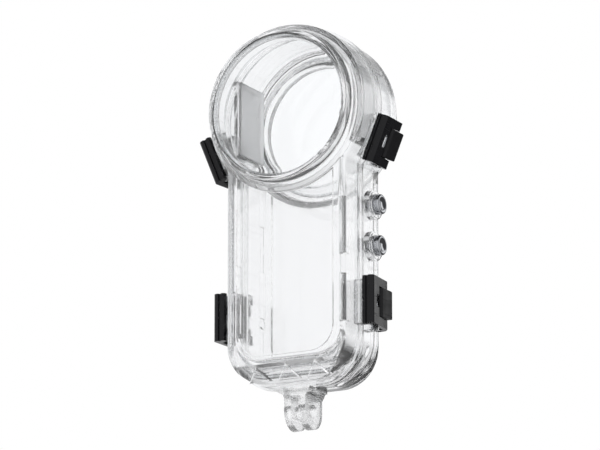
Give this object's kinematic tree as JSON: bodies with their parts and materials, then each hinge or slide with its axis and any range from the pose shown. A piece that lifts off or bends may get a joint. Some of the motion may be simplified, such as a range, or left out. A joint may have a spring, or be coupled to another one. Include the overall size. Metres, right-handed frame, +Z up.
{
  "type": "camera dive housing",
  "caption": "Clear dive housing for a slim two-lens camera, closed by black draw latches, with round dome ports front and back, side push buttons and a two-prong mount below.",
  "frame": {"origin": "middle of the pivot bore that runs through the two mount prongs under the case", "axes": "+Z up the case from the mount to the round head, -Y out of the front port, +X to the side with the two push buttons, along the pivot bore"},
  "size_m": [0.086, 0.0498, 0.1649],
  "materials": {
    "clear_plastic": "clear polycarbonate, polished",
    "dome_glass": "coated optical window, polished",
    "latch_black": "moulded black plastic, half gloss",
    "button_steel": "turned and polished stainless steel",
    "steel": "drawn stainless steel",
    "seal_silicone": "translucent silicone",
    "rest_silicone": "pale grey translucent silicone, satin"
  },
  "bodies": {
    "rear_case": {"rear_shell": "clear_plastic", "rear_dome": "dome_glass", "rear_dome_seal": "seal_silicone", "main_gasket": "seal_silicone", "side_rest_right": "rest_silicone", "side_rest_left": "rest_silicone", "foot_rest": "rest_silicone", "latch_lower_right_pivot_pin": "steel", "latch_lower_left_pivot_pin": "steel", "latch_upper_right_pivot_pin": "steel", "latch_upper_left_pivot_pin": "steel", "button_upper_seal": "seal_silicone", "button_upper_spring": "steel", "button_lower_seal": "seal_silicone", "button_lower_spring": "steel"},
    "front_case": {"front_shell": "clear_plastic", "front_dome": "dome_glass", "front_dome_seal": "seal_silicone"},
    "lever_lower_right": {"latch_lower_right_lever": "latch_black", "latch_lower_right_link_pin": "steel"},
    "link_lower_right": {"latch_lower_right_link": "latch_black"},
    "lever_lower_left": {"latch_lower_left_lever": "latch_black", "latch_lower_left_link_pin": "steel"},
    "link_lower_left": {"latch_lower_left_link": "latch_black"},
    "lever_upper_right": {"latch_upper_right_lever": "latch_black", "latch_upper_right_link_pin": "steel"},
    "link_upper_right": {"latch_upper_right_link": "latch_black"},
    "lever_upper_left": {"latch_upper_left_lever": "latch_black", "latch_upper_left_link_pin": "steel"},
    "link_upper_left": {"latch_upper_left_link": "latch_black"},
    "push_upper": {"button_upper_cap": "button_steel", "button_upper_clip": "steel"},
    "push_lower": {"button_lower_cap": "button_steel", "button_lower_clip": "steel"}
  },
  "joints": [
    {"name": "front_case_lift", "type": "slide", "parent": "rear_case", "child": "front_case", "axis": [0, -1, 0], "range_m": [0, 0.012]},
    {"name": "lever_lower_right_turn", "type": "hinge", "parent": "rear_case", "child": "lever_lower_right", "pos_m": [0.0304, 0.0018, 0.0408], "axis": [0, 0, -1], "range_deg": [0, 70.5]},
    {"name": "link_lower_right_turn", "type": "hinge", "parent": "lever_lower_right", "child": "link_lower_right", "pos_m": [0.0304, 0.0062, 0.0408], "axis": [0, 0, -1], "range_deg": [-125.5, 0]},
    {"name": "lever_lower_left_turn", "type": "hinge", "parent": "rear_case", "child": "lever_lower_left", "pos_m": [-0.0304, 0.0018, 0.0408], "axis": [0, 0, 1], "range_deg": [0, 70.5]},
    {"name": "link_lower_left_turn", "type": "hinge", "parent": "lever_lower_left", "child": "link_lower_left", "pos_m": [-0.0304, 0.0062, 0.0408], "axis": [0, 0, 1], "range_deg": [-125.5, 0]},
    {"name": "lever_upper_right_turn", "type": "hinge", "parent": "rear_case", "child": "lever_upper_right", "pos_m": [0.03418, 0.0018, 0.10744], "axis": [-0.3827, 0, -0.9239], "range_deg": [0, 70.5]},
    {"name": "link_upper_right_turn", "type": "hinge", "parent": "lever_upper_right", "child": "link_upper_right", "pos_m": [0.03418, 0.0062, 0.10744], "axis": [-0.3827, 0, -0.9239], "range_deg": [-125.5, 0]},
    {"name": "lever_upper_left_turn", "type": "hinge", "parent": "rear_case", "child": "lever_upper_left", "pos_m": [-0.03418, 0.0018, 0.10744], "axis": [-0.3827, 0, 0.9239], "range_deg": [0, 70.5]},
    {"name": "link_upper_left_turn", "type": "hinge", "parent": "lever_upper_left", "child": "link_upper_left", "pos_m": [-0.03418, 0.0062, 0.10744], "axis": [-0.3827, 0, 0.9239], "range_deg": [-125.5, 0]},
    {"name": "push_upper_press", "type": "slide", "parent": "rear_case", "child": "push_upper", "axis": [-1, 0, 0], "range_m": [0, 0.002], "stiffness_N_per_m": 500, "springref_m": -0.0005, "deforming": ["button_upper_spring"]},
    {"name": "push_lower_press", "type": "slide", "parent": "rear_case", "child": "push_lower", "axis": [-1, 0, 0], "range_m": [0, 0.002], "stiffness_N_per_m": 500, "springref_m": -0.0005, "deforming": ["button_lower_spring"]}
  ],
  "couplings": [
    {"joint": "lever_lower_right_turn", "follows": "front_case_lift", "rad_per_m": 101.81},
    {"joint": "link_lower_right_turn", "follows": "front_case_lift", "rad_per_m": -181.81},
    {"joint": "lever_lower_left_turn", "follows": "front_case_lift", "rad_per_m": 101.81},
    {"joint": "link_lower_left_turn", "follows": "front_case_lift", "rad_per_m": -181.81},
    {"joint": "lever_upper_right_turn", "follows": "front_case_lift", "rad_per_m": 101.81},
    {"joint": "link_upper_right_turn", "follows": "front_case_lift", "rad_per_m": -181.81},
    {"joint": "lever_upper_left_turn", "follows": "front_case_lift", "rad_per_m": 101.81},
    {"joint": "link_upper_left_turn", "follows": "front_case_lift", "rad_per_m": -181.81}
  ]
}
